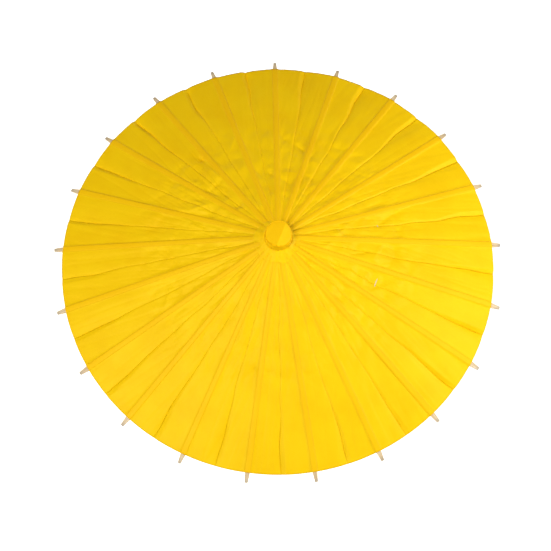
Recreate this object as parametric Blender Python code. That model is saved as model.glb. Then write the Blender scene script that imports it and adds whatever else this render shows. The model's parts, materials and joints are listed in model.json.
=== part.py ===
"""Oil paper umbrella: a hand-held parasol of split bamboo, turned wood, thread and oiled paper.

The umbrella stands upright and open. +Z runs up the shaft, and the origin is the middle of the
handle's flat lower end. Rib 1 points along +Y, and the others follow it anticlockwise.

Each rib turns in a slot of the head on a ring of thread. A stretcher joins the middle of each rib
to the runner. The rib's inner part and the stretcher are equally long, and the threads of the head
and of the runner lie on circles of the same radius, so the lower end of a stretcher moves straight
along the shaft when its rib turns.
"""

import math

import bmesh
import bpy
from mathutils import Matrix

MM = 0.001

# Driving dimensions, in metres and radians.
RIB_COUNT = 21
CANOPY_RADIUS = 200 * MM
OPEN_SLOPE = math.radians(18)
HEAD_HEIGHT = 318 * MM
THREAD_CIRCLE_RADIUS = 10.2 * MM
LINK_LENGTH = 88 * MM
TIP_OVERHANG = 8 * MM
GAP = 0.3 * MM

# Shaft and handle grip.
SHAFT_RADIUS = 4 * MM
SHAFT_BOTTOM = 25 * MM
SHAFT_SIDES = 32
GRIP_LENGTH = 85 * MM
GRIP_RADIUS = 7.5 * MM

# Head and runner: discs with one slot for each bar, on a core as wide as the slots leave.
DISC_RADIUS = 11.6 * MM
CORE_RADIUS = 8.4 * MM
SLOT_WIDTH = 2.0 * MM
GROOVE_HEIGHT = 1.5 * MM
GROOVE_RADIUS = 9.5 * MM
HEAD_BELOW_THREAD = 2.6 * MM
HEAD_SLOT_ROOF = 2.2 * MM
HEAD_ABOVE_THREAD = 9 * MM
RUNNER_SLEEVE_RADIUS = 8 * MM
RUNNER_SLEEVE_LENGTH = 22 * MM
RUNNER_BORE_RADIUS = 4.4 * MM
RUNNER_DISC_BELOW = 3.5 * MM
RUNNER_DISC_ABOVE = 4 * MM
TURNED_SEGMENTS = 42

# Pins, and how many sides a small round hole or pin has.
SMALL_SIDES = 12
HEAD_PIN_RADIUS = 0.9 * MM
HEAD_PIN_HEIGHT = 5.6 * MM
CATCH_PIN_RADIUS = 0.6 * MM

# Ribs and stretchers. A bar's eye line is the straight line through its eyes.
EYE_RADIUS = 0.8 * MM
EYE_SIDES = 6
THREAD_RADIUS = 0.4 * MM
BAR_END = 1.5 * MM
RIB_TOP = 1.8 * MM
RIB_BELOW = 2.2 * MM
RIB_NECK_HALF = 0.7 * MM
RIB_NECK_LENGTH = 22 * MM
RIB_RIM_HALF = 2.1 * MM
RIB_TIP_HALF = 1.3 * MM
RIB_SLOT_WIDTH = 2.2 * MM
RIB_SLOT_INWARD = 9 * MM
RIB_SLOT_OUTWARD = 27 * MM
JOINT_THREAD_HALF_SPAN = 3.2 * MM

# Catch: a leaf in a slit of the shaft, hooked under the open runner.
CATCH_WIDTH = 1.6 * MM
CATCH_REACH = 6.4 * MM
CATCH_LENGTH = 22 * MM
SLIT_WIDTH = 2.2 * MM
SLIT_MARGIN = 2.5 * MM

# Paper.
PAPER_THICKNESS = 0.3 * MM
PAPER_GAP = 0.5 * MM
PAPER_START = 4.4 * MM
FOLD_DIP = 1.5 * MM
CAP_WALL = 0.5 * MM
CAP_CLEARANCE = 0.3 * MM
CAP_CROWN = 0.9 * MM
CAP_HEM = 2.5 * MM
CAP_CENTRE_RADIUS = 7 * MM
SKIRT_INNER_RADIUS = 12.8 * MM
SKIRT_OUTER_RADIUS = 21 * MM

# Dimensions that follow from the ones above.
RUNNER_HEIGHT = HEAD_HEIGHT - 2 * LINK_LENGTH * math.sin(OPEN_SLOPE)
JOINT_RADIUS = THREAD_CIRCLE_RADIUS + LINK_LENGTH * math.cos(OPEN_SLOPE)
JOINT_HEIGHT = HEAD_HEIGHT - LINK_LENGTH * math.sin(OPEN_SLOPE)
RUNNER_BOTTOM = RUNNER_HEIGHT - RUNNER_SLEEVE_LENGTH
CATCH_TOP = RUNNER_BOTTOM - GAP
CATCH_PIVOT_HEIGHT = CATCH_TOP - CATCH_LENGTH
RIB_LENGTH = (CANOPY_RADIUS + TIP_OVERHANG - THREAD_CIRCLE_RADIUS) / math.cos(OPEN_SLOPE)


def clear_scene():
    """Remove every object of the scene."""
    for obj in list(bpy.data.objects):
        bpy.data.objects.remove(obj, do_unlink=True)


def material(name, colour, roughness, metallic=0.0):
    """Return a Principled material, made on its first use."""
    found = bpy.data.materials.get(name)
    if found:
        return found
    made = bpy.data.materials.new(name)
    made.use_nodes = True
    shader = made.node_tree.nodes["Principled BSDF"]
    shader.inputs["Base Color"].default_value = (*colour, 1.0)
    shader.inputs["Roughness"].default_value = roughness
    shader.inputs["Metallic"].default_value = metallic
    return made


def oiled_paper():
    """Yellow paper, brushed with oil."""
    return material("oiled_paper", (0.93, 0.62, 0.02), 0.55)


def bamboo():
    """Pale split bamboo."""
    return material("bamboo", (0.84, 0.70, 0.45), 0.6)


def turned_wood():
    """Light wood of the head, the runner and the grip."""
    return material("turned_wood", (0.66, 0.45, 0.24), 0.55)


def cotton_thread():
    """Off-white cotton thread."""
    return material("cotton_thread", (0.85, 0.80, 0.68), 0.9)


def steel():
    """Plain steel of the pins."""
    return material("steel", (0.62, 0.62, 0.63), 0.35, 1.0)


def add_object(name, mesh, finish, parent=None):
    """Link a mesh to the scene as a named object with one material."""
    obj = bpy.data.objects.new(name, mesh)
    bpy.context.scene.collection.objects.link(obj)
    if not mesh.materials:
        mesh.materials.append(finish)
    obj.parent = parent
    return obj


def to_mesh(name, bm, smooth_angle=None):
    """Turn a bmesh into a mesh, with its faces pointing out and round sides smooth."""
    bmesh.ops.recalc_face_normals(bm, faces=bm.faces)
    mesh = bpy.data.meshes.new(name)
    bm.to_mesh(mesh)
    bm.free()
    if smooth_angle is not None:
        mesh.shade_smooth()
        mesh.set_sharp_from_angle(angle=smooth_angle)
    return mesh


def turned(name, profile, segments=TURNED_SEGMENTS):
    """Turn a closed profile of (radius, height) points about the Z axis."""
    bm = bmesh.new()
    verts = [bm.verts.new((radius, 0, height)) for radius, height in profile]
    edges = [bm.edges.new((verts[k - 1], verts[k])) for k in range(len(verts))]
    bmesh.ops.spin(
        bm,
        geom=verts + edges,
        axis=(0, 0, 1),
        cent=(0, 0, 0),
        angle=math.tau,
        steps=segments,
        use_merge=True,
    )
    bmesh.ops.remove_doubles(bm, verts=bm.verts, dist=1e-6)
    bmesh.ops.dissolve_degenerate(bm, edges=bm.edges, dist=1e-7)
    return to_mesh(name, bm, math.radians(35))


def box(name, low, high):
    """A box between two corners."""
    bm = bmesh.new()
    size = [b - a for a, b in zip(low, high)]
    middle = [(a + b) / 2 for a, b in zip(low, high)]
    matrix = Matrix.Translation(middle) @ Matrix.Diagonal((*size, 1))
    bmesh.ops.create_cube(bm, size=1, matrix=matrix)
    return to_mesh(name, bm)


def rod(name, radius, length, axis, middle, sides):
    """A straight round rod along a world axis, as a mesh in world coordinates."""
    if axis == "Z":
        turn = Matrix.Identity(4)
    else:
        turn = Matrix.Rotation(math.pi / 2, 4, "Y" if axis == "X" else "X")
    bm = bmesh.new()
    bmesh.ops.create_cone(
        bm,
        cap_ends=True,
        segments=sides,
        radius1=radius,
        radius2=radius,
        depth=length,
        matrix=Matrix.Translation(middle) @ turn,
    )
    return to_mesh(name, bm, math.radians(50))


def bar(name, stations):
    """A straight bar along +X. A station is (x, half width, bottom z, top z)."""
    bm = bmesh.new()
    rings = []
    for x, half, bottom, top in stations:
        corners = [(x, -half, bottom), (x, half, bottom), (x, half, top), (x, -half, top)]
        rings.append([bm.verts.new(corner) for corner in corners])
    for ring, following in zip(rings, rings[1:]):
        for k in range(4):
            bm.faces.new((ring[k - 1], ring[k], following[k], following[k - 1]))
    bm.faces.new(rings[0])
    bm.faces.new(rings[-1])
    return to_mesh(name, bm)


def cut(obj, *cutter_meshes):
    """Cut meshes, given in the object's own coordinates, out of an object."""
    for index, mesh in enumerate(cutter_meshes):
        cutter = bpy.data.objects.new(f"{obj.name}_cutter_{index}", mesh)
        bpy.context.scene.collection.objects.link(cutter)
        cutter.hide_render = True
        cutter.display_type = "WIRE"
        cutter.parent = obj
        modifier = obj.modifiers.new(f"cut_{index}", "BOOLEAN")
        modifier.operation = "DIFFERENCE"
        modifier.solver = "EXACT"
        modifier.object = cutter


def baked(obj):
    """Replace an object and its cutters with the mesh that they make."""
    graph = bpy.context.evaluated_depsgraph_get()
    mesh = bpy.data.meshes.new_from_object(obj.evaluated_get(graph), depsgraph=graph)
    mesh.name = obj.name
    for child in list(obj.children):
        bpy.data.objects.remove(child, do_unlink=True)
    bpy.data.objects.remove(obj, do_unlink=True)
    return mesh


def azimuth(index):
    """The direction of a rib, from +X, with rib 0 along +Y."""
    return math.pi / 2 + math.tau * index / RIB_COUNT


def slot_cutters(name, low, high):
    """The radial slots of the head or the runner, as one mesh of separate boxes."""
    bm = bmesh.new()
    inner, outer = CORE_RADIUS, DISC_RADIUS + 3 * MM
    size = Matrix.Diagonal((outer - inner, SLOT_WIDTH, high - low, 1))
    for index in range(RIB_COUNT):
        place = Matrix.Rotation(azimuth(index), 4, "Z") @ Matrix.Translation(
            ((inner + outer) / 2, 0, (low + high) / 2)
        )
        bmesh.ops.create_cube(bm, size=1, matrix=place @ size)
    return to_mesh(name, bm)


def groove_cutter(name, height):
    """The ring groove that the thread lies in, open to the outside."""
    outer = DISC_RADIUS + 2 * MM
    low, high = height - GROOVE_HEIGHT / 2, height + GROOVE_HEIGHT / 2
    return turned(name, [(GROOVE_RADIUS, high), (outer, high), (outer, low), (GROOVE_RADIUS, low)])


def eye_cutter(name, x):
    """The hole for a thread, across a bar at x on its eye line."""
    return rod(name, EYE_RADIUS, 12 * MM, "Y", (x, 0, 0), EYE_SIDES)


def thread_ring(name, points):
    """A closed ring of thread through a list of points."""
    curve = bpy.data.curves.new(name, "CURVE")
    curve.dimensions = "3D"
    curve.bevel_depth = THREAD_RADIUS
    curve.bevel_resolution = 1
    spline = curve.splines.new("POLY")
    spline.points.add(len(points) - 1)
    for point, place in zip(spline.points, points):
        point.co = (*place, 1)
    spline.use_cyclic_u = True
    curve.materials.append(cotton_thread())
    obj = bpy.data.objects.new(name, curve)
    bpy.context.scene.collection.objects.link(obj)
    return obj


def make_shaft():
    """The round wooden shaft, with a slit for the catch and a hole for each pin."""
    top = HEAD_HEIGHT + HEAD_ABOVE_THREAD - GAP
    middle = (0, 0, (SHAFT_BOTTOM + top) / 2)
    mesh = rod("shaft", SHAFT_RADIUS, top - SHAFT_BOTTOM, "Z", middle, SHAFT_SIDES)
    shaft = add_object("shaft", mesh, bamboo())
    slit_low = CATCH_PIVOT_HEIGHT - SLIT_MARGIN
    slit_high = CATCH_TOP + SLIT_MARGIN
    reach = SHAFT_RADIUS + MM
    slit = box("slit", (-reach, -SLIT_WIDTH / 2, slit_low), (reach, SLIT_WIDTH / 2, slit_high))
    pin_height = HEAD_HEIGHT + HEAD_PIN_HEIGHT
    pin_place = (0, 0, pin_height)
    catch_place = (0, 0, CATCH_PIVOT_HEIGHT)
    pin_hole = rod("pin_hole", HEAD_PIN_RADIUS + GAP, 2 * reach, "X", pin_place, SMALL_SIDES)
    catch_hole = rod("catch_hole", CATCH_PIN_RADIUS + GAP, 2 * reach, "Y", catch_place, SMALL_SIDES)
    cut(shaft, slit, pin_hole, catch_hole)


def make_handle_grip():
    """The turned grip, glued over the lower end of the shaft."""
    bore = SHAFT_RADIUS + GAP
    bore_bottom = SHAFT_BOTTOM - GAP
    profile = [
        (0, bore_bottom),
        (bore, bore_bottom),
        (bore, GRIP_LENGTH),
        (GRIP_RADIUS - 1.6 * MM, GRIP_LENGTH),
        (GRIP_RADIUS - 0.4 * MM, GRIP_LENGTH - 1.2 * MM),
        (GRIP_RADIUS, GRIP_LENGTH - 4 * MM),
        (GRIP_RADIUS - 0.9 * MM, GRIP_LENGTH * 0.6),
        (GRIP_RADIUS - 0.6 * MM, GRIP_LENGTH * 0.35),
        (GRIP_RADIUS, 8 * MM),
        (GRIP_RADIUS, 1.6 * MM),
        (GRIP_RADIUS - 1.2 * MM, 0),
        (0, 0),
    ]
    add_object("handle_grip", turned("handle_grip", profile, SHAFT_SIDES), turned_wood())


def make_head():
    """The slotted head, pinned to the top of the shaft."""
    bottom = HEAD_HEIGHT - HEAD_BELOW_THREAD
    top = HEAD_HEIGHT + HEAD_ABOVE_THREAD
    chamfer = 1.5 * MM
    bore = SHAFT_RADIUS + GAP
    profile = [
        (bore, top),
        (DISC_RADIUS - chamfer, top),
        (DISC_RADIUS, top - chamfer),
        (DISC_RADIUS, bottom),
        (bore, bottom),
    ]
    head = add_object("head", turned("head", profile), turned_wood())
    slots = slot_cutters("head_slots", bottom - MM, HEAD_HEIGHT + HEAD_SLOT_ROOF)
    groove = groove_cutter("head_groove", HEAD_HEIGHT)
    pin_height = HEAD_HEIGHT + HEAD_PIN_HEIGHT
    length = 2 * DISC_RADIUS + 4 * MM
    hole = rod("head_hole", HEAD_PIN_RADIUS + GAP, length, "X", (0, 0, pin_height), SMALL_SIDES)
    cut(head, slots, groove, hole)


def make_head_pin():
    """The steel pin through the head and the shaft."""
    place = (0, 0, HEAD_HEIGHT + HEAD_PIN_HEIGHT)
    length = 2 * (DISC_RADIUS - 0.5 * MM)
    mesh = rod("head_pin", HEAD_PIN_RADIUS, length, "X", place, SMALL_SIDES)
    add_object("head_pin", mesh, steel())


def make_runner():
    """The sliding runner: a slotted disc on a sleeve that the fingers push."""
    below, above = -RUNNER_DISC_BELOW, RUNNER_DISC_ABOVE
    round_off = 0.8 * MM
    profile = [
        (RUNNER_BORE_RADIUS, above),
        (DISC_RADIUS - round_off, above),
        (DISC_RADIUS, above - round_off),
        (DISC_RADIUS, below),
        (RUNNER_SLEEVE_RADIUS, below),
        (RUNNER_SLEEVE_RADIUS, round_off - RUNNER_SLEEVE_LENGTH),
        (RUNNER_SLEEVE_RADIUS - round_off, -RUNNER_SLEEVE_LENGTH),
        (RUNNER_BORE_RADIUS, -RUNNER_SLEEVE_LENGTH),
    ]
    runner = add_object("runner", turned("runner", profile), turned_wood())
    runner.location = (0, 0, RUNNER_HEIGHT)
    slots = slot_cutters("runner_slots", below - MM, above + MM)
    cut(runner, slots, groove_cutter("runner_groove", 0))


def rib_mesh():
    """One rib along +X, with its head eye at the origin and its joint eye a link further out."""
    rim = RIB_LENGTH - TIP_OVERHANG
    slot_start = LINK_LENGTH - RIB_SLOT_INWARD
    slot_end = LINK_LENGTH + RIB_SLOT_OUTWARD
    solid = 4 * MM
    stations = [
        (-BAR_END, RIB_NECK_HALF, -0.4 * BAR_END, 0.4 * BAR_END),
        (-0.7 * BAR_END, RIB_NECK_HALF, -0.7 * BAR_END, 0.7 * BAR_END),
        (0, RIB_NECK_HALF, -BAR_END, BAR_END),
        (5 * MM, RIB_NECK_HALF, -BAR_END, RIB_TOP),
        (RIB_NECK_LENGTH, 2 * RIB_NECK_HALF, -1.8 * MM, RIB_TOP),
        (slot_start - solid, 3 * RIB_NECK_HALF, -RIB_BELOW, RIB_TOP),
        (slot_end + solid, 2.2 * MM, -RIB_BELOW, RIB_TOP),
        (rim, RIB_RIM_HALF, -1.4 * MM, RIB_TOP),
        (RIB_LENGTH, RIB_TIP_HALF, -0.8 * MM, 1.4 * MM),
    ]
    rib = add_object("rib", bar("rib", stations), bamboo())
    half_slot = RIB_SLOT_WIDTH / 2
    slot = box(
        "rib_slot",
        (slot_start, -half_slot, -5 * MM),
        (slot_end, half_slot, 5 * MM),
    )
    cut(rib, slot, eye_cutter("head_eye", 0), eye_cutter("joint_eye", LINK_LENGTH))
    return baked(rib)


def stretcher_mesh():
    """One stretcher along +X, with its joint eye at the origin and its runner eye a link further."""
    narrow, wide, thin = 0.8 * MM, 1.2 * MM, 0.7 * MM
    nested = RIB_SLOT_OUTWARD + 2 * MM
    slotted = LINK_LENGTH - 15 * MM
    stations = [
        (-BAR_END, narrow, -0.4 * BAR_END, 0.4 * BAR_END),
        (-0.7 * BAR_END, narrow, -0.7 * BAR_END, 0.7 * BAR_END),
        (0, narrow, -BAR_END, BAR_END),
        (nested, narrow, -BAR_END, BAR_END),
        (nested + 8 * MM, wide, -BAR_END, BAR_END),
        (slotted - 6 * MM, wide, -BAR_END, BAR_END),
        (slotted, thin, -BAR_END, BAR_END),
        (LINK_LENGTH, thin, -BAR_END, BAR_END),
        (LINK_LENGTH + 0.7 * BAR_END, thin, -0.7 * BAR_END, 0.7 * BAR_END),
        (LINK_LENGTH + BAR_END, thin, -0.4 * BAR_END, 0.4 * BAR_END),
    ]
    stretcher = add_object("stretcher", bar("stretcher", stations), bamboo())
    cut(stretcher, eye_cutter("upper_eye", 0), eye_cutter("runner_eye", LINK_LENGTH))
    return baked(stretcher)


def make_ribs_and_stretchers():
    """The ribs, each turning on the head thread, and a stretcher turning on each rib."""
    rib_shape = rib_mesh()
    stretcher_shape = stretcher_mesh()
    for index in range(RIB_COUNT):
        angle = azimuth(index)
        rib = add_object(f"rib_{index + 1:02d}", rib_shape, bamboo())
        rib.location = (
            THREAD_CIRCLE_RADIUS * math.cos(angle),
            THREAD_CIRCLE_RADIUS * math.sin(angle),
            HEAD_HEIGHT,
        )
        rib.rotation_euler = (0, OPEN_SLOPE, angle)
        stretcher = add_object(f"stretcher_{index + 1:02d}", stretcher_shape, bamboo(), rib)
        stretcher.location = (LINK_LENGTH, 0, 0)
        stretcher.rotation_euler = (0, math.pi - 2 * OPEN_SLOPE, 0)


def make_threads():
    """The three rings of thread: through the head, the runner and the rib joints."""
    bends = 2 * RIB_COUNT
    for name, height in (("head_thread", HEAD_HEIGHT), ("runner_thread", RUNNER_HEIGHT)):
        turns = [azimuth(k / 2) for k in range(bends)]
        thread_ring(
            name,
            [
                (THREAD_CIRCLE_RADIUS * math.cos(t), THREAD_CIRCLE_RADIUS * math.sin(t), height)
                for t in turns
            ],
        )
    points = []
    for index in range(RIB_COUNT):
        turn = Matrix.Rotation(azimuth(index), 4, "Z")
        for side in (-JOINT_THREAD_HALF_SPAN, JOINT_THREAD_HALF_SPAN):
            points.append(turn @ Matrix.Translation((JOINT_RADIUS, side, JOINT_HEIGHT)))
    thread_ring("joint_thread", [matrix.translation for matrix in points])


def make_catch():
    """The bamboo leaf that holds the runner up, and the pin that it turns on.

    The end of the hook is an arc about the pin, so it swings clear of the runner.
    """
    half = CATCH_WIDTH / 2
    foot = 1.6 * MM
    hook_inside = CATCH_REACH - 3.4 * MM
    hook_tip, hook_root = (math.sqrt(CATCH_LENGTH**2 - x**2) for x in (CATCH_REACH, hook_inside))
    outline = [
        (-foot, -foot),
        (foot, -foot),
        (foot, 4 * MM),
        (CATCH_REACH, hook_tip - 2 * MM),
        (CATCH_REACH, hook_tip),
        (hook_inside, hook_root),
        (hook_inside, hook_tip - 4 * MM),
        (-foot, 4 * MM),
    ]
    bm = bmesh.new()
    face = bm.faces.new([bm.verts.new((x, -half, z)) for x, z in outline])
    side = bmesh.ops.extrude_face_region(bm, geom=[face])["geom"]
    moved = [item for item in side if isinstance(item, bmesh.types.BMVert)]
    bmesh.ops.translate(bm, verts=moved, vec=(0, CATCH_WIDTH, 0))
    catch = add_object("catch", to_mesh("catch", bm), bamboo())
    catch.location = (0, 0, CATCH_PIVOT_HEIGHT)
    cut(catch, rod("catch_eye", CATCH_PIN_RADIUS + GAP, 6 * MM, "Y", (0, 0, 0), SMALL_SIDES))
    pin_length = 2 * (SHAFT_RADIUS - GAP)
    place = (0, 0, CATCH_PIVOT_HEIGHT)
    mesh = rod("catch_pin", CATCH_PIN_RADIUS, pin_length, "Y", place, SMALL_SIDES)
    add_object("catch_pin", mesh, steel())


def paper_cone(name, start, end, gap, rings):
    """A closed shell of folded paper over the ribs.

    start and end are distances along the rib, and gap is the clear height over its top face. The
    paper is ridged over each rib and dips to a fold halfway between two ribs.
    """
    bm = bmesh.new()
    layers = []
    for lift in (gap, gap + PAPER_THICKNESS):
        layer = []
        for ring in range(rings + 1):
            along = start + (end - start) * ring / rings
            offset = RIB_TOP + lift
            radius = THREAD_CIRCLE_RADIUS + along * math.cos(OPEN_SLOPE) + offset * math.sin(OPEN_SLOPE)
            height = HEAD_HEIGHT - along * math.sin(OPEN_SLOPE) + offset * math.cos(OPEN_SLOPE)
            loop = []
            for step in range(2 * RIB_COUNT):
                on_fold = step % 2
                reach = radius * (math.cos(math.pi / RIB_COUNT) if on_fold else 1)
                dip = FOLD_DIP * along / RIB_LENGTH if on_fold else 0
                turn = azimuth(step / 2)
                loop.append(bm.verts.new((reach * math.cos(turn), reach * math.sin(turn), height - dip)))
            layer.append(loop)
        layers.append(layer)
    low, high = layers
    strips = [*zip(low, low[1:]), *zip(high, high[1:]), (low[0], high[0]), (low[-1], high[-1])]
    for near, far in strips:
        for k in range(2 * RIB_COUNT):
            bm.faces.new((near[k - 1], near[k], far[k], far[k - 1]))
    return to_mesh(name, bm)


def along_rib(radius, gap):
    """The distance along a rib at which paper with this gap lies at a radius."""
    offset = RIB_TOP + gap
    return (radius - THREAD_CIRCLE_RADIUS - offset * math.sin(OPEN_SLOPE)) / math.cos(OPEN_SLOPE)


def make_canopy():
    """The paper canopy, glued to the ribs from the head to the rim."""
    end = along_rib(CANOPY_RADIUS, PAPER_GAP)
    mesh = paper_cone("canopy_paper", PAPER_START, end, PAPER_GAP, 3)
    add_object("canopy_paper", mesh, oiled_paper())


def make_cap_skirt():
    """The pleated paper collar that covers the canopy's inner edge."""
    gap = PAPER_GAP + PAPER_THICKNESS + GAP
    start = along_rib(SKIRT_INNER_RADIUS, gap)
    end = along_rib(SKIRT_OUTER_RADIUS, gap)
    add_object("cap_skirt", paper_cone("cap_skirt", start, end, gap, 1), oiled_paper())


def make_top_cap():
    """The paper cap over the head."""
    inner = DISC_RADIUS + CAP_CLEARANCE
    outer = inner + CAP_WALL
    head_top = HEAD_HEIGHT + HEAD_ABOVE_THREAD
    crown = head_top + CAP_CROWN
    shoulder = head_top - 1.4 * MM
    sag = 0.2 * MM
    hem = HEAD_HEIGHT + CAP_HEM
    profile = [
        (0, crown + CAP_WALL),
        (CAP_CENTRE_RADIUS, crown + CAP_WALL - sag),
        (inner - 1.2 * MM, crown - sag),
        (outer, shoulder),
        (outer, hem),
        (inner, hem),
        (inner, shoulder),
        (inner - 1.6 * MM, crown - 3 * sag),
        (CAP_CENTRE_RADIUS, crown - sag),
        (0, crown),
    ]
    add_object("top_cap", turned("top_cap", profile), oiled_paper())


def main():
    """Build the whole umbrella."""
    clear_scene()
    make_shaft()
    make_handle_grip()
    make_head()
    make_head_pin()
    make_runner()
    make_ribs_and_stretchers()
    make_threads()
    make_catch()
    make_canopy()
    make_cap_skirt()
    make_top_cap()


main()
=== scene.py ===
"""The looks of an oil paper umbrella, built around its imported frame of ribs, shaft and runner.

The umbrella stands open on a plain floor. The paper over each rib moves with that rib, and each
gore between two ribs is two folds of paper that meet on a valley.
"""

import json
import logging
import math
import random
from collections.abc import Callable, Sequence
from dataclasses import dataclass, field
from enum import Enum
from typing import ClassVar

import bmesh
import bpy
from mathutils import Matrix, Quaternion, Vector, noise

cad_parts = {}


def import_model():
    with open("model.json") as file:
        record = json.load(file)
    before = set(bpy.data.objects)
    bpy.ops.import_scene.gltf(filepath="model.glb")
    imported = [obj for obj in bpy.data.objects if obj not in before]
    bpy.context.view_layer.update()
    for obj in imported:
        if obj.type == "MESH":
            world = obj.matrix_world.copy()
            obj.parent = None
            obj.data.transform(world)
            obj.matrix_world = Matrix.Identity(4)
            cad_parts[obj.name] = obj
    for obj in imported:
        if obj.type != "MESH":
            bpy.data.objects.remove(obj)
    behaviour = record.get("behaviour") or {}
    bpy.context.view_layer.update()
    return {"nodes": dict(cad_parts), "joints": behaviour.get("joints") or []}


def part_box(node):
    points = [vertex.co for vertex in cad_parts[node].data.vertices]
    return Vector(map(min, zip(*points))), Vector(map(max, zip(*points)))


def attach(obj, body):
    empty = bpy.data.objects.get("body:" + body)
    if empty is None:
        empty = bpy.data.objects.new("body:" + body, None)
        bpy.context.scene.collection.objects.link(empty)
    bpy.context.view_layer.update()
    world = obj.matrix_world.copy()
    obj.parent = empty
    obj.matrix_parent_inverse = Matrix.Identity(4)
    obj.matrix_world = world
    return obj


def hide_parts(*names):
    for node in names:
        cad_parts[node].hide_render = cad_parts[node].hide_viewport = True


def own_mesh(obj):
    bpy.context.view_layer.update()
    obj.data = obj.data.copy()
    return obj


Colour = tuple[float, ...]

LOG = logging.getLogger("umbrella")
MM = 0.001
# An across value far from any rib, for paper that gets none of the paper finish's painted glow.
FREE_PAPER = 20 * MM


class Side(Enum):
    """Which of its two ribs a fold of a gore hangs from."""

    NEAR = "near"
    FAR = "far"


class Grain(Enum):
    """Which way the fibres of a wooden or bamboo part run."""

    UPRIGHT = "upright"
    DOWN_THE_RIB = "down_the_rib"
    DOWN_THE_STRETCHER = "down_the_stretcher"


# ------------------------
# Small helpers
# ------------------------


def smooth_step(low: float, high: float, value: float) -> float:
    """Ease from 0 at low to 1 at high.

    Args:
        low: Where the result leaves 0.
        high: Where the result reaches 1.
        value: The value looked at.

    Returns:
        The eased share, from 0 to 1.
    """
    share = min(1.0, max(0.0, (value - low) / (high - low)))
    return share * share * (3 - 2 * share)


def bump_between(low: float, high: float, edge: float, value: float) -> float:
    """A plateau of 1 from low to high that eases to 0 over edge on each side.

    Args:
        low: Where the plateau starts.
        high: Where the plateau ends.
        edge: How wide each flank is.
        value: The value looked at.

    Returns:
        The height of the plateau at value, from 0 to 1.
    """
    return smooth_step(low - edge, low, value) * (1 - smooth_step(high, high + edge, value))


def follow(stops: Sequence[tuple[float, float]], share: float) -> float:
    """Follow straight lines from stop to stop.

    Args:
        stops: Shares from 0 to 1, each with its value.
        share: The share looked at.

    Returns:
        The value there.
    """
    for (low, start), (high, end) in zip(stops, stops[1:]):
        if share <= high:
            return start + (end - start) * (share - low) / (high - low)
    return stops[-1][1]


def level(turn: float) -> Vector:
    """The level direction at an angle from +X."""
    return Vector((math.cos(turn), math.sin(turn), 0))


def wobble(*place: float) -> float:
    """Soft noise around 0. A fixed number in place only sets one use of it apart from another."""
    return noise.noise(Vector(place))


def crumple(place: Vector, pitch: float, octaves: int = 3, fade: float = 0.5) -> float:
    """A field of sharp valleys between soft facets, as in paper that was crushed once.

    Args:
        place: The point looked at.
        pitch: The distance between the largest creases.
        octaves: How many finer layers of creases there are.
        fade: How high each finer layer is, as a share of the one before.

    Returns:
        A height between about -0.5 and 0.5.
    """
    total, height, size = 0.0, 1.0, 1.0 / pitch
    for layer in range(octaves):
        shifted = place * size + Vector((17.3 * layer, -9.1 * layer, 4.7 * layer))
        total += height * (abs(noise.noise(shifted)) - 0.25)
        height *= fade
        size *= 2.1
    return total


def linked(name: str, data: bpy.types.ID) -> bpy.types.Object:
    """A new object of the scene that shows data."""
    made = bpy.data.objects.new(name, data)
    bpy.context.scene.collection.objects.link(made)
    return made


def new_object(name: str, bm: bmesh.types.BMesh, smooth_angle: float = 40.0) -> bpy.types.Object:
    """Turn a bmesh into an object of the scene, at the origin.

    Args:
        name: The piece's name.
        bm: The mesh, which is freed.
        smooth_angle: Edges that turn more than this many degrees stay sharp.

    Returns:
        The new object.
    """
    mesh = bpy.data.meshes.new(name)
    bm.to_mesh(mesh)
    bm.free()
    mesh.shade_smooth()
    mesh.set_sharp_from_angle(angle=math.radians(smooth_angle))
    return linked(name, mesh)


def shaped_grid(
    name: str,
    columns: int,
    rows: int,
    place: Callable[[float, float], tuple[Vector, float, float]],
) -> bpy.types.Object:
    """A grid whose points are laid on a surface, with two attributes; the paper finish reads
    across.

    Args:
        name: The piece's name.
        columns: How many faces there are across.
        rows: How many faces there are along.
        place: Gives, for shares from 0 to 1 across and along, the point, its distance from the
            rib's middle line and its distance along the rib.

    Returns:
        The new object, whose faces point up.
    """
    bm = bmesh.new()
    bmesh.ops.create_grid(bm, x_segments=columns, y_segments=rows, size=1.0)
    across = bm.verts.layers.float.new("across")
    along = bm.verts.layers.float.new("along")
    for vert in bm.verts:
        point, vert[across], vert[along] = place((vert.co.x + 1) / 2, (vert.co.y + 1) / 2)
        vert.co = point
    if sum(face.normal.z for face in updated(bm).faces) < 0:
        bmesh.ops.reverse_faces(bm, faces=bm.faces)
    return new_object(name, bm)


def updated(bm: bmesh.types.BMesh) -> bmesh.types.BMesh:
    """The same bmesh with its normals worked out again."""
    bm.normal_update()
    return bm


def thicken(piece: bpy.types.Object, thickness: float) -> None:
    """Give a surface a wall under it.

    Args:
        piece: The surface.
        thickness: How thick the wall is.
    """
    wall = piece.modifiers.new("wall", "SOLIDIFY")
    wall.thickness = thickness
    wall.offset = -1.0
    wall.use_rim = True


def dress(
    piece: bpy.types.Object, finish: bpy.types.Material, stands_for: str, body: str
) -> None:
    """Give a new piece its finish and its body.

    Args:
        piece: The piece.
        finish: Its material.
        stands_for: The CAD node that it replaces.
        body: The body that it moves with.
    """
    piece.data.materials.clear()
    piece.data.materials.append(finish)
    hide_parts(stands_for)
    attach(piece, body)
    LOG.info("%s rides on %s", piece.name, body)


# ------------------------
# Shader expressions
# ------------------------


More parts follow.
